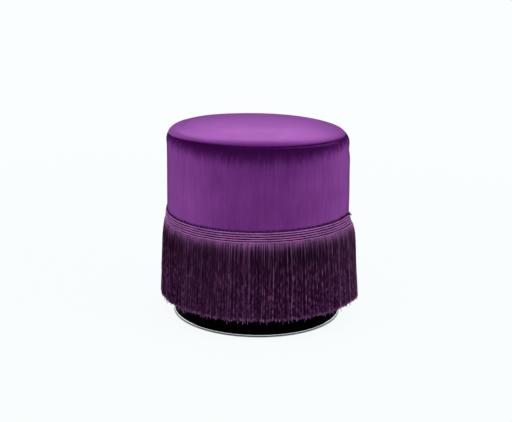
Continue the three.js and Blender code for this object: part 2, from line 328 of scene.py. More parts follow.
def outline(way):
    """Radius, height and outward normal at a distance along the seat's outline."""
    if way <= crown_length:
        a = way / crown_radius
        height = seat_edge + crown_rise - crown_radius * (1 - math.cos(a))
        return crown_radius * math.sin(a), height, math.sin(a), math.cos(a)
    if way <= waist_start:
        a = (way - crown_length) / shoulder_radius
        height = shoulder_height + shoulder_radius * math.cos(a)
        return edge_radius + shoulder_radius * math.sin(a), height, math.sin(a), math.cos(a)
    if way <= wall_start:
        t = (way - waist_start) / waist_length
        swell = shoulder_bulge * (1 - t * t * (3 - 2 * t))
        return wall_radius + swell, shoulder_height - (way - waist_start), 1.0, 0.0
    if way <= turn_start:
        return wall_radius, waist_height - (way - wall_start), 1.0, 0.0
    if way <= hem_start:
        a = (way - turn_start) / hem_round
        radius = wall_radius - hem_round + hem_round * math.cos(a)
        return radius, hem_height + hem_round - hem_round * math.sin(a), math.cos(a), -math.sin(a)
    return wall_radius - hem_round - (way - hem_start), hem_height, 0.0, -1.0


def pulled_forward(azimuth):
    """1 over the seat's front, where the seam is drawn in, fading to almost nothing at its back."""
    return math.exp(math.cos(azimuth) - 1)


def rightness(azimuth):
    return max(0.0, math.sin(azimuth))


def seam_way(azimuth):
    """Where the seam runs along the outline."""
    skew = 1 - seam_skew_share * math.sin(azimuth)
    return crown_length + seam_at_front + seam_drop * (1 - pulled_forward(azimuth)) * skew


def spot(way, azimuth, proud=0.0):
    """A point on the seat's outline at this azimuth, standing proud of it."""
    r, z, nr, nz = outline(way)
    return round_point(r + proud * nr, azimuth, z + proud * nz)


def facing(way, azimuth):
    r, z, nr, nz = outline(way)
    return round_point(nr, azimuth, nz)


def plain_seat():
    """The seat's upper part as a closed, evenly meshed body just inside its velvet."""
    ways = [crown_length * i / 16 for i in range(1, 17)]
    ways += [crown_length + shoulder_length * i / 8 for i in range(1, 9)]
    ways += [waist_start + waist_length * i / 4 for i in range(1, 5)]
    ways += [wall_start + 20 * mm]
    rows = [[spot(way, a, -start_inset) for a in turns(puff_steps)] for way in ways]
    ends = (spot(0, 0, -start_inset), Vector((0, 0, rows[-1][0].z)))
    seat = show("puffed_seat", ring_mesh("puffed_seat", rows, pole=ends))
    remesh = seat.modifiers.new("voxels", "REMESH")
    remesh.mode = "VOXEL"
    remesh.voxel_size = voxel
    even = bpy.data.meshes.new_from_object(seat.evaluated_get(bpy.context.evaluated_depsgraph_get()))
    seat.modifiers.clear()
    seat.data = even
    return seat


def puffed_top():
    """The stuffed top under its velvet, blown up by the cloth simulation with the seam held down."""
    seat = plain_seat()
    even = seat.data
    held = seat.vertex_groups.new(name="held")
    for v in even.vertices:
        azimuth = math.atan2(v.co.x, -v.co.y)
        seam = spot(seam_way(azimuth), azimuth, -start_inset)
        near = 1 - ease((v.co - seam).length, 3 * mm, 9 * mm)
        low_wall = 1 - ease(v.co.z, waist_height - 8 * mm, waist_height + 22 * mm)
        held.add([v.index], min(1.0, max(near, low_wall)), "REPLACE")
    cloth = seat.modifiers.new("cloth", "CLOTH")
    cloth.settings.quality = 5
    cloth.settings.mass = 0.3
    cloth.settings.tension_stiffness = 15
    cloth.settings.compression_stiffness = 15
    cloth.settings.bending_stiffness = 4
    cloth.settings.use_pressure = True
    cloth.settings.uniform_pressure_force = puff_pressure
    cloth.settings.vertex_group_mass = "held"
    cloth.settings.effector_weights.gravity = 0
    cloth.collision_settings.use_self_collision = False
    cloth.point_cache.frame_end = puff_frames
    scene = bpy.context.scene
    for step in range(1, puff_frames + 1):
        scene.frame_set(step)
    blown = seat.evaluated_get(bpy.context.evaluated_depsgraph_get()).to_mesh()
    moved = []
    for before, after in zip(even.vertices, blown.vertices):
        way = after.co - before.co
        moved.append(before.co + way * min(1.0, most_puff / max(way.length, 1e-9)))
    faces = [tuple(p.vertices) for p in even.polygons]
    scene.frame_set(1)
    bpy.data.objects.remove(seat)
    return BVHTree.FromPolygons(moved, faces)


def puff_reader():
    """How far the stuffed top stands out of the outline at any place on it."""
    tree = puffed_top()
    far_out = 20 * mm

    def read(way, azimuth):
        keep_share = 1 - ease(way, waist_start, wall_start)
        if keep_share == 0:
            return 0.0
        hit = tree.ray_cast(spot(way, azimuth, far_out), -facing(way, azimuth), 2 * far_out)
        if hit[0] is None:
            return 0.0
        return keep_share * max(-start_inset, min(most_puff, far_out - hit[3]))
    return read


def side_shape(way, azimuth):
    """What sets the sides apart: the right shoulder is softer than the left one, which swells a little."""
    above_wall = 1 - ease(way, waist_start, wall_start)
    shoulder = ease(way, crown_length - 15 * mm, crown_length + 12 * mm) * above_wall
    lower = ease(way, crown_length + 12 * mm, waist_start)
    lower *= 1 - ease(way, waist_start + 8 * mm, wall_start + 8 * mm)
    upper = shoulder * (1 - ease(way, crown_length + 24 * mm, waist_start + 10 * mm))
    to_left = max(0.0, math.sin(-0.35 - azimuth)) ** 2
    softer = (right_softness * shoulder + right_slack * lower) * rightness(azimuth) ** 2
    return left_fullness * to_left * upper - softer


def back_join(way, azimuth):
    """The shallow line where the side band's ends are sewn together, at the back."""
    round_way = (azimuth % (2 * math.pi) - math.pi) * wall_radius
    below_seam = ease(way - seam_way(azimuth), 0, 3 * mm)
    return -join_depth * math.exp(-(round_way / join_width) ** 2) * below_seam


def seam_roll(way, azimuth):
    """The full rolls along the seam, above it on the top panel and below it on the side band."""
    from_seam = way - seam_way(azimuth)
    far = abs(from_seam)
    if from_seam >= 0:
        return side_roll * (1 - math.exp(-far / 2 / mm)) * math.exp(-far / side_roll_width)
    at_back = pulled_forward(math.pi)
    front = (pulled_forward(azimuth) - at_back) / (1 - at_back)
    strength = roll_in_middle + ease(way, 0.1 * crown_length, 0.9 * crown_length) * (front - roll_in_middle)
    inside = max(0.0, 1 - far / top_roll_width)
    return top_roll * strength * math.sqrt(1 - inside * inside)


def stands_out(puff, way, azimuth):
    """The velvet's height over the outline, from its stuffing, its seams and slight unevenness."""
    from_seam = way - seam_way(azimuth)
    crease = -seam_crease * (1 - 0.6 * math.sin(azimuth) ** 4) * math.exp(-(from_seam / crease_width) ** 2)
    trim_way = braid_way - trim_level(azimuth)
    low_right = rightness(azimuth) ** 2 * ease(way, wall_start + 20 * mm, wall_start + 90 * mm)
    full = wall_fullness * (1 + 0.9 * low_right) * ease(from_seam, 0, 30 * mm)
    full *= 1 - ease(way, trim_way - 7 * mm, trim_way)
    x, y, z = spot(way, azimuth)
    uneven = unevenness * noise.noise(Vector((x, y, z * 0.35)) * 14)
    uneven *= ease(way, 20 * mm, 60 * mm) * (1 - ease(way, trim_way - 10 * mm, trim_way))
    seams = seam_roll(way, azimuth) + crease + back_join(way, azimuth)
    return puff(way, azimuth) + seams + full + uneven + side_shape(way, azimuth)


def velvet_piece(name, rows_of_ways, puff, finish, pole):
    """A velvet panel with its thickness: its outer face follows the stuffing and its inner face the foam."""
    outer = []
    inner = []
    for ways in rows_of_ways:
        outer.append([spot(w, a, stands_out(puff, w, a)) for w, a in zip(ways, turns(round_steps))])
        inner.append([spot(w, a, -velvet_thickness) for w, a in zip(ways, turns(round_steps))])
    ends = (spot(0, 0, stands_out(puff, 0, 0)), spot(0, 0, -velvet_thickness)) if pole else None
    return show(name, ring_mesh(name, outer + inner[::-1], pole=ends, looped=not pole), finish)


def pile_direction(v, azimuth, on_top):
    """Which way the pile leans: forward on the top panel, out and down on the side band."""
    if on_top:
        sideways = v.co.x / edge_radius
        # The lean grows to the back and the sides, most at the right: painted shade on those parts, seen from
        # the front
        share = 0.5 + 0.5 * v.co.y / edge_radius + (0.42 if sideways > 0 else 0.24) * abs(sideways) ** 3
        return Vector((0, -1, 0)) * lean_at_back * max(0.0, share) ** 1.3
    up = v.normal.z
    down = Vector((0, 0, -1)) * math.sqrt(max(0.0, 1 - up * up))
    return (round_point(1, azimuth, 0) * max(0.0, up) + down) * lean_on_wall


def pile_pressed_and_painted_shade(v, azimuth, on_top):
    """How far the pile is crushed, with painted shade: darkest in the seam's crease, a painted shade band on
    the shoulder under the seam that fades downwards and is narrower at the sides, painted light on the roll's
    crest at the front, and painted shade along the top panel's front edge.
    """
    from_seam = (v.co - spot(seam_way(azimuth), azimuth)).length
    # Darkest in the seam's crease: crushed pile and painted shade
    seam = math.exp(-(from_seam / seam_crush_and_shade_width) ** 2)
    if on_top:
        # Painted shade along the top panel's front edge, strongest at the front
        return max(seam, 0.28 * max(0.0, math.cos(azimuth)) * math.exp(-(from_seam / (9 * mm)) ** 2))
    # A painted shade band below the seam on the wall, higher and narrower at the sides
    sideways = math.sin(azimuth) ** 2
    middle = band_height + band_rise_at_sides * sideways
    reach = band_reach * (1 - 0.4 * sideways)
    band = ease(v.co.z, middle - reach, middle + reach)
    # Painted light on the crest of the roll just below the seam, over the front, more to the right
    lit_front = 0.4 * ease(azimuth, -0.45, -0.1) + 0.6 * ease(azimuth, 0.1, 0.6)
    painted_ridge_light = lit_front * (1 - ease(azimuth, 0.9, 1.2)) * math.exp(-((from_seam - 4 * mm) / (2.6 * mm)) ** 2)
    return max(seam, pressed_on_wall + (1 - pressed_on_wall) * band * (1 - 0.5 * painted_ridge_light))


def comb_pile(piece, on_top):
    """Stores the pile's lean, and how far it is crushed together with its painted shade, on every point."""
    mesh = piece.data
    mesh.attributes.new("pile_lean", "FLOAT_VECTOR", "POINT")
    mesh.attributes.new("pile_pressed_and_painted_shade", "FLOAT", "POINT")
    leans = []
    pressed = []
    for v in mesh.vertices:
        azimuth = math.atan2(v.co.x, -v.co.y)
        leans.extend(pile_direction(v, azimuth, on_top))
        pressed.append(pile_pressed_and_painted_shade(v, azimuth, on_top) if math.hypot(v.co.x, v.co.y) > 0.1 else 0.0)
    mesh.attributes["pile_lean"].data.foreach_set("vector", leans)
    mesh.attributes["pile_pressed_and_painted_shade"].data.foreach_set("value", pressed)


def upholster(finish):
    """The top panel and the side band, with rows that crowd together at the seam."""
    puff = puff_reader()
    seams = [seam_way(a) for a in turns(round_steps)]
    shares = [i / inner_rings for i in range(1, inner_rings + 1)]
    top_rows = [[(s - near_seam[-1] * mm) * share for s in seams] for share in shares]
    top_rows += [[s - e * mm for s in seams] for e in near_seam[-2::-1]]
    side_rows = [[s + e * mm for s in seams] for e in near_seam]
    level = wall_start + 8 * mm
    last = side_rows[-1]
    side_rows += [[w + (level - w) * i / 5 for w in last] for i in range(1, 5)]
    way = level
    while way < turn_start - 1 * mm:
        side_rows.append([way] * round_steps)
        way += 7 * mm
    side_rows += [[turn_start + turn_length * i / 4] * round_steps for i in range(5)]
    side_rows += [[hem_start + hem_length * i / 3] * round_steps for i in range(1, 4)]
    top = velvet_piece("velvet_top_panel", top_rows, puff, finish, pole=True)
    side = velvet_piece("velvet_side_band", side_rows, puff, finish, pole=False)
    comb_pile(top, True)
    comb_pile(side, False)
    return top, side


# The trim's level, for the pieces built here and for those that Geometry Nodes build

trim_inputs = {
    "Trim sag": trim_sag, "Trim tilt": trim_tilt, "End sag": end_sag, "Sag width": sag_width,
    "End dip": end_dip, "Dip width": dip_width, "Dip width behind": dip_width_behind,
    "Trim lean": trim_lean, "End lean": end_lean,
}


def trim_level(azimuth):
    """How far the trim is off its level at this azimuth."""
    sag = end_sag * math.exp(-((azimuth - math.pi / 2) / sag_width) ** 2)
    width = dip_width_behind if math.cos(azimuth) < 0 else dip_width
    dip = end_dip * math.exp(-((azimuth - math.pi / 2) / width) ** 2)
    return trim_sag + trim_tilt * math.sin(azimuth) - sag - dip


def trim_off_wall(azimuth):
    """How far the trim's lower edge stands off the wall at this azimuth."""
    return trim_lean + end_lean * rightness(azimuth) ** 3


def hill(off_middle, width):
    """A smooth hill, 1 in its middle."""
    share = off_middle / width
    return calc("EXPONENT", -1.0 * (share * share))


def trim_level_nodes(given, angle):
    """The same as trim_level, for a tree."""
    off_end = angle - math.pi / 2
    behind = calc("GREATER_THAN", off_end, 0.0)
    width = given["Dip width"] + behind * (given["Dip width behind"] - given["Dip width"])
    sag = given["End sag"] * hill(off_end, given["Sag width"])
    dip = given["End dip"] * hill(off_end, width)
    return given["Trim sag"] + given["Trim tilt"] * calc("SINE", angle) - (sag + dip)


def trim_lean_nodes(given, angle):
    """The same as trim_off_wall, for a tree."""
    return given["Trim lean"] + given["End lean"] * calc("MAXIMUM", 0.0, calc("SINE", angle)) ** 3.0


# Geometry Nodes

def new_tree(name, inputs):
    """An empty tree with these inputs, the trim's and a finish; gives the tree and its inputs by name."""
    tree = bpy.data.node_groups.new(name, "GeometryNodeTree")
    kinds = {int: "NodeSocketInt", float: "NodeSocketFloat"}
    for label, value in {**inputs, **trim_inputs, "Finish": None}.items():
        kind = kinds.get(type(value), "NodeSocketMaterial")
        socket = tree.interface.new_socket(name=label, in_out="INPUT", socket_type=kind)
        if value is not None:
            socket.default_value = value
    tree.interface.new_socket(name="Geometry", in_out="OUTPUT", socket_type="NodeSocketGeometry")
    given = tree.nodes.new("NodeGroupInput")
    return tree, {s.name: Flow(s) for s in given.outputs if s.name}


def made_by(tree, name, **values):
    """Runs a tree with these inputs and keeps what it makes as a plain mesh."""
    carrier = show(name + "_carrier", bpy.data.meshes.new(name + "_carrier"))
    maker = carrier.modifiers.new("maker", "NODES")
    maker.node_group = tree
    for socket in tree.interface.items_tree:
        if socket.in_out == "INPUT" and socket.name in values:
            maker[socket.identifier] = values[socket.name]
    graph = bpy.context.evaluated_depsgraph_get()
    made = carrier.evaluated_get(graph)
    mesh = bpy.data.meshes.new_from_object(made, preserve_all_data_layers=True, depsgraph=graph)
    bpy.data.objects.remove(carrier)
    mesh.name = name
    return show(name, mesh)


def stored(geometry, **values):
    """Keeps values on the points of the geometry, each under its name."""
    for name, value in values.items():
        inputs = {"Geometry": geometry, "Name": name, "Value": value}
        geometry = add(geometry.tree, "GeometryNodeStoreNamedAttribute", inputs, data_type="FLOAT")
    return geometry


def kept(tree, name):
    return add(tree, "GeometryNodeInputNamedAttribute", {"Name": name}, data_type="FLOAT")


def chance(low, high, which, seed):
    """A fixed random number for each number of which."""
    made = which.tree.nodes.new("FunctionNodeRandomValue")
    made.data_type = "FLOAT"
    for socket, value in zip([s for s in made.inputs if s.enabled], (low, high, which, seed)):
        put(socket, value)
    return Flow([s for s in made.outputs if s.enabled][0])


def round_place(angle, radius, height):
    """The same as round_point, for a tree."""
    return joined(radius * calc("SINE", angle), radius * calc("COSINE", angle) * -1.0, height)


def wander(lane, along, seed):
    """A smooth wave from -1 to 1 that differs from lane to lane."""
    return spread(speckle(joined(lane * 7.31, along, seed), 1.0, 1.0), 0.25, 0.75, -1.0, 1.0)


def settle(down, length):
    """1 less a fading power: how far a thread has come out of its bend, this far down."""
    return 1.0 - calc("EXPONENT", down / -length)


def on_points(points, curve):
    """A real copy of the curve on every point."""
    copies = add(points.tree, "GeometryNodeInstanceOnPoints", {"Points": points, "Instance": curve})
    return add(points.tree, "GeometryNodeRealizeInstances", {"Geometry": copies})


def moved_to(curves, place):
    return add(curves.tree, "GeometryNodeSetPosition", {"Geometry": curves, "Position": place})


def close_as_tubes(curves, corners, radius, finish, caps=True):
    """Ends the tree: a tube round every curve, smooth, as real geometry and with the finish."""
    tree = curves.tree
    section = add(tree, "GeometryNodeCurvePrimitiveCircle", {"Resolution": corners, "Radius": 1.0})
    inputs = {"Curve": curves, "Profile Curve": section, "Scale": radius, "Fill Caps": caps}
    tubes = add(tree, "GeometryNodeCurveToMesh", inputs)
    smooth = add(tree, "GeometryNodeSetShadeSmooth", {"Geometry": tubes})
    real = add(tree, "GeometryNodeRealizeInstances", {"Geometry": smooth})
    dressed = add(tree, "GeometryNodeSetMaterial", {"Geometry": real, "Material": finish})
    put(tree.nodes.new("NodeGroupOutput").inputs[0], dressed)


def fringe_points(tree, given):
    """A point for every thread, which carries the traits of the thread and of its tuft."""
    seed = given["Seed"]
    count = given["Tufts"] * given["Threads in a tuft"]
    index = add(tree, "GeometryNodeInputIndex")
    tuft = calc("FLOOR", index / given["Threads in a tuft"])
    luck = chance(0.0, 1.0, tuft, seed)
    beside = (chance(0.0, 1.0, tuft - 1.0, seed) + chance(0.0, 1.0, tuft + 1.0, seed)) * 0.48
    return stored(
        add(tree, "GeometryNodePoints", {"Count": count}),
        thread_number=index,
        tuft_number=tuft,
        tuft_chance=luck,
        tuft_tone=0.47 + (luck - beside),
        tuft_length=chance(-1.0, 1.0, tuft, seed + 11),
        thread_chance=chance(0.0, 1.0, index, seed + 21),
        thread_length=chance(-1.0, 1.0, index, seed + 31),
        thread_offset=chance(-0.5, 0.5, index, seed + 41),
        thread_layer=chance(0.0, 1.0, index, seed + 51))


def hanging_threads():
    """A quarter of the fringe: threads in tufts that spring out from the heading and hang to ragged ends."""
    tree, given = new_tree("hanging_threads", {
        "Middle angle": 0.0,
        "Tufts": tufts_per_quarter,
        "Threads in a tuft": threads_per_tuft,
        "Points on a thread": thread_points,
        "Thread radius": thread_radius,
        "Root radius": root_radius,
        "Root height": root_height,
        "Tip height": tip_height,
        "Spring": 2.5 * mm,
        "Belly": 5 * mm,
        "Flare": 11.5 * mm,
        "Lift at the right": 1.8 * mm,
        "Swing to the right": 4.4 * mm,
        "Kick at the right": 2.7 * mm,
        "Layers": 5 * mm,
        "Tuft sway": 2.4 * mm,
        "Thread sway": 0.7 * mm,
        "Overlap": 1.045,
        "Raggedness": 3.0 * mm,
        "Seed": 1,
    })
    seed = given["Seed"]
    line = add(tree, "GeometryNodeCurvePrimitiveLine", {"End": (0, 0, 1)})
    line = add(tree, "GeometryNodeResampleCurve", {"Curve": line, "Count": given["Points on a thread"]})
    threads = on_points(fringe_points(tree, given), line)
    along = add(tree, "GeometryNodeSplineParameter", out="Factor")
    luck = kept(tree, "thread_chance")
    layer = kept(tree, "thread_layer")
    lane = kept(tree, "tuft_number")
    stray = calc("GREATER_THAN", luck, 0.975)

    full = given["Root height"] - given["Tip height"]
    tuft_pitch = math.pi / 2 / given["Tufts"]
    centre = given["Middle angle"] + ((lane + 0.5) * tuft_pitch - math.pi / 4) * given["Overlap"]
    clump = wander(lane * 0.4, 0.0, seed + 4.5)
    uneven = kept(tree, "tuft_length") * 0.6 + clump * 0.6 + kept(tree, "thread_length") * 0.5
    length = full + given["Raggedness"] * uneven + stray * (kept(tree, "tuft_chance") * stray_length)
    down = length * along ** 1.8
    fallen = down / full

    spring = given["Spring"] * settle(down, 1.5 * mm)
    belly = given["Belly"] * settle(down, 14 * mm)
    deep = layer * given["Layers"] * settle(down, 9 * mm)
    radius = given["Root radius"] + spring + (belly + given["Flare"] * fallen) - deep
    lean_left = 0.75 - down / (130 * mm) + (0.25 - 0.25 * settle(down, 4 * mm))
    radius = radius + trim_lean_nodes(given, centre) * lean_left
    ripple = wander(lane, down * 18.0, seed + 3.5)
    radius = radius + ripple * (1.1 * mm * settle(down, 50 * mm))

    offset = kept(tree, "thread_offset") * tuft_pitch * (0.7 + 0.95 * layer)
    broad_wave = wander(lane * 0.03, down * 13.0, seed + 2.5)
    own_wave = wander(lane, down * 30.0, seed + 0.5)
    tuft_wave = broad_wave * 0.75 + own_wave * 0.25
    thread_wave = wander(kept(tree, "thread_number"), down * 24.0, seed + 1.5)
    thread_sway = given["Thread sway"] * (1.0 + stray * 3.0)
    sway = tuft_wave * given["Tuft sway"] + thread_wave * thread_sway
    angle = centre + (offset + sway * settle(down, 60 * mm) / given["Root radius"])

    to_right = calc("SINE", angle)
    swing = given["Lift at the right"] * settle(down, 6 * mm) + given["Swing to the right"] * fallen
    kick = given["Kick at the right"] * fallen ** 4.0
    radius = radius + to_right * swing + calc("MAXIMUM", 0.0, to_right) * kick
    stitch = (1.0 - along) * (luck * -stitch_drop)
    height = given["Root height"] + trim_level_nodes(given, centre) - down + stitch

    threads = moved_to(threads, round_place(angle, radius, height))
    tone = kept(tree, "tuft_tone") * 0.8 + luck * 0.2 + stray * 0.7
    threads = stored(threads, down=down, to_end=length - down, tone=tone)
    thick = given["Thread radius"] * (1.0 - along * 0.1) * (1.0 + stray * 0.7)
    close_as_tubes(threads, 3, thick, given["Finish"])
    return tree


def twisted_cords():
    """The braid's cords: each a ring of plies twisted round one another, one above the other."""
    tree, given = new_tree("twisted_cords", {
        "Cords": braid_cords,
        "Plies": 2,
        "Lowest cord": braid_bottom + cord_pitch / 2,
        "Cord pitch": cord_pitch,
        "Ring radius": cord_ring,
        "Twist radius": twist_radius,
        "Ply radius": ply_radius,
        "Turns": cord_turns,
        "Steps in a turn": 8,
    })
    points = add(tree, "GeometryNodePoints", {"Count": given["Cords"] * given["Plies"]})
    share = add(tree, "GeometryNodeInputIndex") / given["Plies"]
    points = stored(points, cord_number=calc("FLOOR", share), ply_share=share)
    steps = given["Turns"] * given["Steps in a turn"]
    hoop = add(tree, "GeometryNodeCurvePrimitiveCircle", {"Resolution": steps, "Radius": 1.0})
    angle = add(tree, "GeometryNodeSplineParameter", out="Factor") * (2 * math.pi)
    lane = kept(tree, "cord_number")
    hand = 1.0 - 2.0 * (lane % 2.0)
    twist = hand * (angle * given["Turns"]) + kept(tree, "ply_share") * (2 * math.pi)
    how_low = 1.0 - 0.85 * (lane / (given["Cords"] - 1.0))
    radius = given["Ring radius"] + trim_lean_nodes(given, angle) * how_low
    radius = radius + given["Twist radius"] * calc("COSINE", twist)
    height = given["Lowest cord"] + given["Cord pitch"] * lane + given["Twist radius"] * calc("SINE", twist)
    drift = speckle(round_place(angle, 3.0, lane * 0.7), 2.2, 1.0)
    height = height + (drift - 0.5) * (1.2 * mm) + trim_level_nodes(given, angle)
    plies = moved_to(on_points(points, hoop), round_place(angle, radius, height))
    close_as_tubes(stored(plies, ply_turn=twist), 5, given["Ply radius"], given["Finish"], caps=False)
    return tree


def picot_edge():
    """The row of small thread loops that stand on the braid's top edge."""
    tree, given = new_tree("picot_edge", {
        "Loops": picot_count,
        "Ring radius": tape_radius + 0.3 * mm,
        "Foot height": braid_top - 1.8 * mm,
        "Loop width": 2.0 * mm,
        "Loop height": 5.4 * mm,
        "Thread radius": 0.7 * mm,
        "Seed": 5,
    })
    index = add(tree, "GeometryNodeInputIndex")
    points = stored(
        add(tree, "GeometryNodePoints", {"Count": given["Loops"]}),
        loop_number=index,
        loop_size=chance(0.75, 1.2, index, given["Seed"]),
        loop_shift=chance(-0.14, 0.14, index, given["Seed"] + 7))
    half_round = {"Resolution": 7, "Radius": 1.0, "Start Angle": 0.0, "Sweep Angle": math.pi}
    loops = on_points(points, add(tree, "GeometryNodeCurveArc", half_round))
    aside, up = parts(add(tree, "GeometryNodeInputPosition"))[:2]
    pitch = 2 * math.pi / given["Loops"]
    angle = pitch * (kept(tree, "loop_number") + kept(tree, "loop_shift"))
    angle = angle + aside * (given["Loop width"] * 0.5) / given["Ring radius"]
    height = given["Foot height"] + up * (given["Loop height"] * kept(tree, "loop_size"))
    height = height + trim_level_nodes(given, angle)
    radius = given["Ring radius"] + up * (0.5 * mm) + trim_lean_nodes(given, angle) * 0.1
    loops = moved_to(loops, round_place(angle, radius, height))
    close_as_tubes(loops, 4, given["Thread radius"], given["Finish"])
    return tree


# Tape, folded end and dust cloth

def braid_tape(finish):
    """The woven band that carries the cords, with slightly wavy edges."""
    rows = []
    for out, up in ((0, 0), (1, 0), (1, 1), (0, 1)):
        row = []
        for a in turns(tape_steps):
            wave = 0.25 * mm * noise.noise(Vector((math.sin(a) * 9, math.cos(a) * 9, up * 3)))
            outer = tape_radius + trim_off_wall(a) * (0.1 if up else 1.0)
            edge = braid_top - 2.4 * mm if up else braid_bottom - 0.5 * mm
            row.append(round_point(outer if out else wall_radius + 0.3 * mm, a, edge + wave + trim_level(a)))
        rows.append(row)
    mesh = ring_mesh("braid_tape", rows, looped=True)
    mesh.polygons.foreach_set("use_smooth", [False] * len(mesh.polygons))
    return show("braid_tape", mesh, finish)


def folded_end(finish):
    """The braid's cut end at the right: a narrow strip of the tape, folded over, that points out and down.

    Its path is in mm: the way round the stool, and the way out from it."""
    path = [(-22 + 10.5 * t, 0.3 + 3.9 * ease(t, 0, 1)) for t in (i / 12 for i in range(13))]
    bends = [math.pi * i / 8 for i in range(1, 9)]
    path += [(-11.5 + 1.25 * math.sin(a), 2.95 + 1.25 * math.cos(a)) for a in bends]
    path += [(-11.5 - 8 * t, 1.7 - 1.5 * ease(t, 0, 1)) for t in (i / 7 for i in range(1, 8))]
    half = 0.62
    corners = ((1, 0), (1, 0.5), (1, 1), (0, 1.06), (-1, 1), (-1, 0.5), (-1, 0), (0, -0.06))
    rows = []
    for k, (s, out) in enumerate(path):
        before = path[max(k - 1, 0)]
        after = path[min(k + 1, len(path) - 1)]
        ds = after[0] - before[0]
        do = after[1] - before[1]
        size = math.hypot(ds, do)
        low = (braid_top + trim_level(math.pi / 2 + s / 198)) / mm - 1.5
        row = []
        for side, edge in corners:
            a = math.pi / 2 + (s - do / size * half * side) / 198
            r = 197.4 + out * (1.5 - 1.35 * edge) + ds / size * half * side
            row.append(round_point(r * mm, a, (low + 7 * edge + 0.3 * math.sin(s * 1.1)) * mm))
        rows.append(row)
    ends = (sum(rows[0], Vector()) / 8, sum(rows[-1], Vector()) / 8)
    return show("braid_folded_end", ring_mesh("braid_folded_end", rows, pole=ends), finish)


def dust_cloth(finish):
    """The black cloth across the underside, tight with faint pulls between its staples."""
    low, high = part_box("dust_cover")
    bottom = low.z + 0.2 * mm
    rings = 12
    rows = []
    for level, order in ((bottom, range(1, rings + 1)), (high.z, range(rings, 0, -1))):
        for i in order:
            r = high.x * i / rings
            pull = 0.18 * mm * (i / rings) ** 4 * (1 if i < rings else 0)
            rows.append([round_point(r, a, level + pull * math.sin(a * 24)) for a in turns(96)])
    mesh = ring_mesh("dust_cloth", rows, pole=(Vector((0, 0, bottom)), Vector((0, 0, high.z))))
    return show("dust_cloth", mesh, finish)


# Finishes

shader_inputs = {
    "colour": "Base Color", "rough": "Roughness", "metallic": "Metallic", "specular": "Specular IOR Level",
    "specular_tint": "Specular Tint", "sheen": "Sheen Weight", "sheen_rough": "Sheen Roughness",
    "sheen_tint": "Sheen Tint", "bump": "Normal",
}


def new_finish(name):
    made = bpy.data.materials.new(name)
    made.use_nodes = True
    return made, made.node_tree, made.node_tree.nodes["Principled BSDF"]


def coat(shader, **values):
    """Links or sets the shader's inputs."""
    for name, value in values.items():
        put(shader.inputs[shader_inputs[name]], value)


def here(tree):
    return add(tree, "ShaderNodeTexCoord", out="Object")


def surface_place(tree, stretch=(1, 1, 1)):
    return add(tree, "ShaderNodeMapping", {"Vector": here(tree), "Scale": stretch})


def attribute(tree, name, out="Fac"):
    return add(tree, "ShaderNodeAttribute", out=out, attribute_name=name)


def cells(place, scale, randomness=1.0):
    inputs = {"Vector": place, "Scale": scale, "Randomness": randomness}
    return add(place.tree, "ShaderNodeTexVoronoi", inputs, out="Distance")


def ramp(value, stops):
    """A colour that changes with a value: stops are (place, colour)."""
    made = value.tree.nodes.new("ShaderNodeValToRGB")
    put(made.inputs[0], value)
    scale = made.color_ramp
    while len(scale.elements) < len(stops):
        scale.elements.new(0.5)
    for element, (place, colour) in zip(scale.elements, stops):
        element.position = place
        element.color = (*colour, 1.0)
    return Flow(made.outputs[0])


def blend(share, first, second):
    made = share.tree.nodes.new("ShaderNodeMix")
    made.data_type = "RGBA"
    put(made.inputs["Factor"], share)
    for socket, colour in zip([s for s in made.inputs if s.type == "RGBA"], (first, second)):
        put(socket, colour)
    return Flow([s for s in made.outputs if s.type == "RGBA"][0])


def relief(height, depth, strength):
    return add(height.tree, "ShaderNodeBump", {"Height": height, "Distance": depth, "Strength": strength})


def purple_velvet():
    """Cut-pile velvet: dark where one looks down into the pile, lilac where one sees its flanks, with painted
    shade along the seam, under it and on the top's front edge.
    """
    finish, tree, flank = new_finish("purple_velvet")
    streaks = speckle(surface_place(tree, (1, 1, 0.16)), 42)
    fine_streaks = speckle(surface_place(tree, (1, 1, 0.1)), 190, 2.0, 0.6)
    clouds = speckle(surface_place(tree), 13)
    grain = speckle(surface_place(tree), 1500, 2.0, 0.6)
    brushed = (streaks - 0.5) * 0.24 + (clouds - 0.5) * 0.42
    lean = scaled(attribute(tree, "pile_lean", "Vector"), 1.0 + brushed)
    true_normal = add(tree, "ShaderNodeNewGeometry", out="Normal")
    tilted = vector_calc("NORMALIZE", vector_calc("ADD", true_normal, lean))
    facing_pile = add(tree, "ShaderNodeLayerWeight", {"Blend": 0.5, "Normal": tilted}, out="Facing")
    # This attribute holds crushed pile and painted shade: it takes the lilac flank colour away along the
    # seam, in the band under it and on the top's front edge
    flat_and_shaded = attribute(tree, "pile_pressed_and_painted_shade")
    # A streaky edge for the painted shade band
    ragged_shade_edge = flat_and_shaded * (1.0 - flat_and_shaded) * spread(flat_and_shaded, pressed_on_wall, pressed_on_wall + 0.2, 1.1, 3.2)
    pressed = (flat_and_shaded + ragged_shade_edge * (fine_streaks - 0.5)) * 0.97
    flank_share = ramp(facing_pile, [(place, (grey,) * 3) for place, grey in flanks_seen]) * (1.0 - pressed)
    flank_colour = blend(flank_share, (0.36, 0.054, 0.50), (0.437, 0.131, 0.515))
    tone = 1.0 + ((grain - 0.5) * 0.5 * 0.5 + brushed * 0.8)
    pile_bump = relief(grain, 0.25 * mm, 0.5)
    coat(flank, colour=scaled(flank_colour, tone), rough=0.9, specular=0.03, sheen=0.14, sheen_rough=0.4,
         sheen_tint=(0.7, 0.4, 1.0), bump=pile_bump)
    depth = tree.nodes.new("ShaderNodeBsdfPrincipled")
    coat(depth, colour=blend(grain, (0.016, 0.0005, 0.024), (0.032, 0.0025, 0.043)), rough=0.95, specular=0.0,
         bump=pile_bump)
    both = add(tree, "ShaderNodeMixShader", {0: flank_share, 1: depth.outputs[0], 2: flank.outputs[0]})
    put(tree.nodes["Material Output"].inputs[0], both)
    return finish


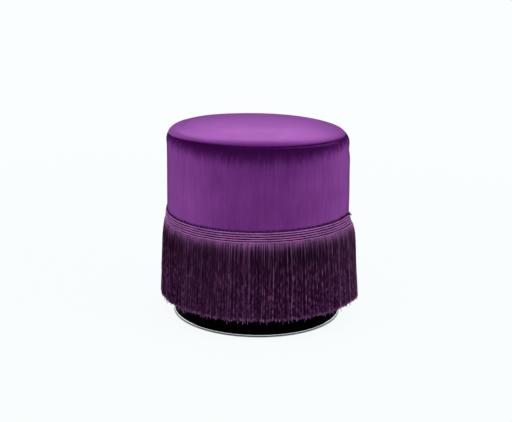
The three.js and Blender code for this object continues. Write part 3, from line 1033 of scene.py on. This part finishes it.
def fringe_thread():
    """Soft, slightly shiny threads: painted light at the heading, painted shade just below it and on the
    inner threads, painted glints along each tuft, and lighter cut ends, partly frayed fibre and partly
    painted glint.
    """
    finish, tree, yarn = new_finish("fringe_thread")
    tone = attribute(tree, "tone")
    down = attribute(tree, "down")
    # Painted glints along each tuft
    glint = speckle(joined(attribute(tree, "tuft_number") * 5.3, down * 66.0), 1.0, 1.0)
    glint = spread(glint, 0.36, 0.68)
    mottle = speckle(surface_place(tree, (1, 1, 0.3)), 120)
    body = ramp(tone * 0.5 + glint * 0.45, [
        (0.20, (0.013, 0.0015, 0.014)), (0.46, (0.056, 0.010, 0.054)),
        (0.66, (0.152, 0.041, 0.146)), (0.88, (0.345, 0.130, 0.333))])
    # Painted shade: the inner threads are darker
    body = blend(attribute(tree, "thread_layer") * 0.8, body, (0.012, 0.001, 0.014))
    # Painted shade just below the heading, fading further down
    out_of_heading_shade = settle(down, 30 * mm)
    body = scaled(body, 0.32 + out_of_heading_shade * 0.68)
    # Painted light at the heading, where the threads bend out under the braid
    light_reach = -1.0 * (0.9 * mm + tone * tone * (3.2 * mm))
    heading = calc("EXPONENT", down / light_reach)
    heading_share = spread(mottle, 0.3, 0.7) * 0.5 + tone * 0.5
    colour = blend(heading, body, blend(heading_share, (0.10, 0.025, 0.11), (0.46, 0.18, 0.48)))
    # Lighter cut ends: frayed fibre, brightened by the painted glints
    tip = 1.0 - spread(attribute(tree, "to_end"), 0.0, 12 * mm, smooth=True)
    colour = blend(tip * (0.1 + glint * 0.8), colour, (0.42, 0.15, 0.42))
    coat(yarn, colour=colour, rough=spread(mottle, 0.3, 0.7, 0.42, 0.62), specular=0.08,
         specular_tint=(1.0, 0.55, 1.0), sheen=0.12, sheen_rough=0.4, sheen_tint=(0.8, 0.25, 0.8))
    return finish


def braid_yarn(name, dark, light, wrap_scale=900):
    """Wrapped yarn with fine slanted fibres."""
    finish, tree, yarn = new_finish(name)
    fibres = speckle(surface_place(tree, (1, 1, 2.5)), wrap_scale, 2.0, 0.6)
    patches = speckle(surface_place(tree), 60)
    share = calc("ADD", fibres * 0.6, patches * 0.4, clamp=True)
    coat(yarn, colour=blend(spread(share, 0.3, 0.7), dark, light), rough=spread(fibres, 0.3, 0.7, 0.5, 0.75),
         specular=0.1, sheen=0.06, sheen_rough=0.4, sheen_tint=(0.85, 0.4, 0.9),
         bump=relief(fibres, 0.15 * mm, 0.6))
    return finish


def weave_height(tree, pitch):
    """Over-and-under of a plain weave that runs round the stool and up it."""
    x, y, z = parts(here(tree))
    threads = round(2 * math.pi * wall_radius / (2 * pitch))
    across = calc("SINE", calc("ARCTAN2", x, y) * float(threads))
    return 0.5 + across * calc("SINE", z * (math.pi / pitch)) * 0.5


def woven_tape():
    """The braid's ground, in a plain weave, near-black as painted shade in the gaps between the cords."""
    finish, tree, cloth = new_finish("woven_tape")
    weave = weave_height(tree, 0.55 * mm)
    share = weave * 0.7 + speckle(surface_place(tree), 80) * 0.3
    # Near-black: painted shade in the gaps between the cords
    coat(cloth, colour=blend(share, (0.006, 0.0005, 0.008), (0.020, 0.002, 0.026)), rough=0.8, specular=0.1,
         sheen=0.05, sheen_tint=(0.8, 0.3, 0.9), bump=relief(weave, 0.2 * mm, 0.7))
    return finish


def softwood():
    """Wood with upright grain, fine pores and small tonal drift."""
    finish, tree, wood = new_finish("softwood")
    place = surface_place(tree, (1, 1, 0.07))
    grain = speckle(place, 60, 4.0, 0.6)
    pores = speckle(place, 840, 2.0, 0.6)
    share = grain * 0.65 + pores * 0.2 + speckle(surface_place(tree), 6, 1.0) * 0.15
    early = (0.69, 0.48, 0.25)
    pale = tuple(c * 1.12 for c in early)
    coat(wood, colour=ramp(share, [(0.35, (0.50, 0.30, 0.13)), (0.5, early), (0.68, pale)]),
         rough=spread(pores, 0.3, 0.7, 0.54, 0.74), specular=0.25, bump=relief(pores, 0.15 * mm, 0.5))
    return finish


def plywood():
    """Pale face veneer and, on the edges, the stripes of the plies."""
    finish, tree, wood = new_finish("plywood")
    grain = speckle(surface_place(tree, (1, 0.06, 1)), 70, 4.0, 0.6)
    plies = calc("SINE", parts(here(tree))[2] * (2 * math.pi / (3 * mm)))
    upright = parts(add(tree, "ShaderNodeNewGeometry", out="Normal"))[2]
    edge = calc("SUBTRACT", 1.0, calc("ABSOLUTE", upright), clamp=True)
    face = ramp(grain, [(0.35, (0.43, 0.26, 0.11)), (0.55, (0.58, 0.39, 0.19)), (0.7, (0.64, 0.45, 0.24))])
    striped = ramp(spread(plies, -1.0, 1.0), [(0.35, (0.33, 0.19, 0.08)), (0.6, (0.60, 0.42, 0.22))])
    coat(wood, colour=blend(edge, face, striped), rough=0.65, specular=0.25,
         bump=relief(grain, 0.2 * mm, 0.4))
    return finish


def open_cell_foam():
    finish, tree, foam = new_finish("open_cell_foam")
    pits = cells(surface_place(tree), 700.0)
    share = calc("ADD", pits * 0.7, speckle(surface_place(tree), 9) * 0.4, clamp=True)
    stops = [(0.2, (0.60, 0.50, 0.30)), (0.5, (0.79, 0.72, 0.53)), (0.8, (0.84, 0.78, 0.62))]
    coat(foam, colour=ramp(share, stops), rough=0.95, specular=0.1, bump=relief(pits, 0.5 * mm, 0.7))
    return finish


def fleecy_wadding():
    finish, tree, fleece = new_finish("fleecy_wadding")
    tangle = speckle(surface_place(tree), 260, 4.0, 0.7)
    coat(fleece, colour=ramp(tangle, [(0.3, (0.70, 0.69, 0.65)), (0.6, (0.87, 0.86, 0.82))]), rough=0.95,
         sheen=0.4, bump=relief(tangle, 0.8 * mm, 0.7))
    return finish


def hardboard():
    finish, tree, board = new_finish("hardboard")
    chips = speckle(surface_place(tree), 420, 4.0, 0.7)
    share = chips * 0.7 + speckle(surface_place(tree), 14) * 0.3
    stops = [(0.3, (0.15, 0.075, 0.03)), (0.5, (0.26, 0.145, 0.065)), (0.7, (0.33, 0.20, 0.10))]
    coat(board, colour=ramp(share, stops), rough=spread(chips, 0.3, 0.7, 0.45, 0.7),
         bump=relief(chips, 0.1 * mm, 0.5))
    return finish


def zinc_screw():
    finish, tree, steel = new_finish("zinc_screw")
    crystals = cells(surface_place(tree), 900.0)
    coat(steel, colour=ramp(crystals, [(0.1, (0.27, 0.27, 0.28)), (0.6, (0.42, 0.42, 0.45))]), metallic=1.0,
         rough=spread(crystals, 0.0, 1.0, 0.28, 0.45))
    return finish


def black_paint():
    """Sprayed black paint over board: faint spray texture, and slightly rubbed at its lower edge."""
    finish, tree, paint = new_finish("black_paint")
    spray = speckle(surface_place(tree), 700, 2.0, 0.6)
    scuffs = speckle(surface_place(tree, (1, 1, 6)), 40, 4.0, 0.7)
    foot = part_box("plinth_hoop")[0].z
    low = 1.0 - spread(parts(here(tree))[2], foot, foot + 6 * mm, smooth=True)
    rubbed = low * spread(scuffs, 0.62, 0.72)
    coat(paint, colour=blend(rubbed * 0.4, (0.0002, 0.0002, 0.0002), (0.006, 0.005, 0.005)),
         rough=spread(spray, 0.3, 0.7, 0.5, 0.66), specular=0.004, bump=relief(spray, 0.05 * mm, 0.4))
    return finish


def black_dust_cloth():
    """Thin bonded cloth with a regular pattern of pressed dots."""
    finish, tree, cloth = new_finish("black_dust_cloth")
    dots = cells(surface_place(tree), 620.0, 0.15)
    share = calc("ADD", dots * 0.6, speckle(surface_place(tree), 900, 3.0, 0.7) * 0.5, clamp=True)
    coat(cloth, colour=ramp(share, [(0.25, (0.004, 0.004, 0.004)), (0.7, (0.020, 0.020, 0.021))]), rough=0.85,
         specular=0.15, bump=relief(dots, 0.2 * mm, 0.6))
    return finish


def polished_ring():
    """Polished metal with fine turned lines, faint finger marks and a painted dark reflection of the shade
    under it along its lower edge.
    """
    finish, tree, metal = new_finish("polished_ring")
    x, y, z = parts(here(tree))
    radius = (x * x + y * y) ** 0.5
    lines = speckle(joined(radius * 3000.0, z * 3000.0), 1.0, 1.0)
    marks = speckle(surface_place(tree), 28, 3.0, 0.6)
    clean = blend(spread(marks, 0.4, 0.7), (0.96, 0.97, 1.0), (0.84, 0.85, 0.88))
    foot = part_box("base_ring")[0].z
    # Painted shade: the lower edge is dark, as the reflection of the shade under the ring
    painted_dark_foot = 1.0 - spread(z, foot + 1.3 * mm, foot + 1.9 * mm, smooth=True)
    coat(metal, colour=blend(painted_dark_foot, clean, (0.020, 0.020, 0.024)), metallic=1.0,
         rough=spread(marks, 0.4, 0.7, 0.10, 0.20) + lines * 0.06, bump=relief(lines, 0.02 * mm, 0.3))
    return finish


def black_nylon():
    finish, tree, plastic = new_finish("black_nylon")
    mould = speckle(surface_place(tree), 500)
    coat(plastic, colour=blend(mould, (0.006, 0.006, 0.006), (0.018, 0.018, 0.018)), specular=0.3,
         rough=spread(mould, 0.3, 0.7, 0.4, 0.6), bump=relief(mould, 0.05 * mm, 0.4))
    return finish


# Studio

def seen_ray(tree):
    """1 for the rays that show the background itself: to the camera, mirrored or through glass."""
    rays = tree.nodes.new("ShaderNodeLightPath").outputs
    seen = calc("MAXIMUM", Flow(rays["Is Camera Ray"]), rays["Is Glossy Ray"])
    return calc("MAXIMUM", seen, rays["Is Transmission Ray"])


def lay_floor():
    """A pale floor, to the camera almost as white as the background, but dark right under the stool."""
    size = 12.0
    corners = [(-size, -size, 0), (size, -size, 0), (size, size, 0), (-size, size, 0)]
    mesh = bpy.data.meshes.new("studio_floor")
    mesh.from_pydata(corners, [], [(0, 1, 2, 3)])
    finish, tree, paint = new_finish("studio_floor")
    coat(paint, colour=(0.80, 0.82, 0.82), rough=0.9, specular=0.0)
    glow = add(tree, "ShaderNodeEmission", {"Color": background, "Strength": 1.0})
    from_middle = add(tree, "ShaderNodeVectorMath", {0: surface_place(tree)}, out="Value", operation="LENGTH")
    ring_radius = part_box("base_ring")[1].x
    clear = spread(from_middle, ring_radius - 1 * mm, ring_radius + 3 * mm, smooth=True)
    glow_share = spread(from_middle, 0.5, 2.5, floor_glow, 0.99, smooth=True)
    share = seen_ray(tree) * glow_share * clear
    both = add(tree, "ShaderNodeMixShader", {0: share, 1: paint.outputs[0], 2: glow})
    put(tree.nodes["Material Output"].inputs[0], both)
    show("studio_floor", mesh, finish)


def soft_lamp(name, place, aim, size, power):
    lamp = bpy.data.lights.new(name, "AREA")
    lamp.shape = "RECTANGLE"
    lamp.size, lamp.size_y = size
    lamp.energy = power
    way = Vector(aim) - Vector(place)
    turn = way.to_track_quat("-Z", "Y").to_matrix().to_4x4()
    show(name, lamp).matrix_world = Matrix.Translation(place) @ turn


def light_studio():
    """A world that is white to the camera and dimmer as a light, and four soft lamps."""
    world = bpy.data.worlds.new("studio")
    bpy.context.scene.world = world
    world.use_nodes = True
    tree = world.node_tree
    dim = tree.nodes["Background"]
    put(dim.inputs["Color"], (1, 1, 1))
    put(dim.inputs["Strength"], world_light)
    white = add(tree, "ShaderNodeBackground", {"Color": background, "Strength": 1.0})
    both = add(tree, "ShaderNodeMixShader", {0: seen_ray(tree), 1: dim.outputs[0], 2: white})
    put(tree.nodes["World Output"].inputs[0], both)
    soft_lamp("left_softbox", (-1.9, -1.7, 1.2), (0, 0, 0.25), (1.1, 1.4), 18)
    soft_lamp("right_softbox", (2.3, -0.9, 1.2), (0, 0, 0.25), (1.0, 1.4), 18)
    soft_lamp("top_softbox", (0, -0.4, 2.3), (0, 0, 0.4), (1.6, 1.2), 14)
    soft_lamp("back_softbox", (0.2, 2.0, 1.5), (0, 0, 0.4), (1.8, 0.9), 9)


# Putting it together

def dress(finishes):
    """Gives every CAD node that stays the finish of its slot."""
    for part in frame["record"]["subparts"]:
        finish = finishes.get(part["material_slot"])
        if finish is not None:
            mesh = frame["nodes"][part["node"]].data
            mesh.materials.clear()
            mesh.materials.append(finish)


def keep(piece, slot, *nodes):
    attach(piece, "root")
    if nodes:
        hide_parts(*nodes)


def build():
    place_camera()
    velvet = purple_velvet()
    thread = fringe_thread()
    cord_yarn = braid_yarn("braid_cord_yarn", (0.260, 0.070, 0.280), (0.640, 0.250, 0.650))
    # Near-black picots: dark yarn and painted shade in the gap behind the loops
    picot_yarn = braid_yarn("picot_yarn", (0.016, 0.001, 0.024), (0.045, 0.006, 0.060))
    # The folded end: the tape's dark back side and painted shade
    end_yarn = braid_yarn("folded_end_yarn", (0.018, 0.004, 0.022), (0.060, 0.018, 0.066), 500)
    dress({
        "foam": open_cell_foam(), "wadding": fleecy_wadding(), "hardboard": hardboard(), "plywood": plywood(),
        "softwood": softwood(), "zinc_steel": zinc_screw(), "black_paint": black_paint(),
        "polished_ring": polished_ring(), "black_nylon": black_nylon(),
    })

    top, side = upholster(velvet)
    keep(top, "velvet", "top_cover")
    keep(side, "velvet", "side_cover")

    keep(braid_tape(woven_tape()), "braid_yarn", "braid")
    keep(made_by(twisted_cords(), "braid_cords", Finish=cord_yarn), "braid_yarn", "braid")
    keep(made_by(picot_edge(), "braid_picots", Finish=picot_yarn), "braid_yarn", "braid")
    keep(folded_end(end_yarn), "braid_yarn", "braid_tail")

    tree = hanging_threads()
    quarters = (("right", math.pi / 2), ("back", math.pi), ("left", -math.pi / 2), ("front", 0.0))
    for number, (where, middle) in enumerate(quarters):
        inputs = {"Finish": thread, "Seed": 70 * number + 30, "Middle angle": middle}
        keep(made_by(tree, "fringe_threads_" + where, **inputs), "fringe_yarn", "fringe_" + where)

    cloth = dust_cloth(black_dust_cloth())
    keep(cloth, "black_fabric", "dust_cover")

    lay_floor()
    light_studio()
    bpy.context.scene.view_settings.view_transform = "Standard"


build()
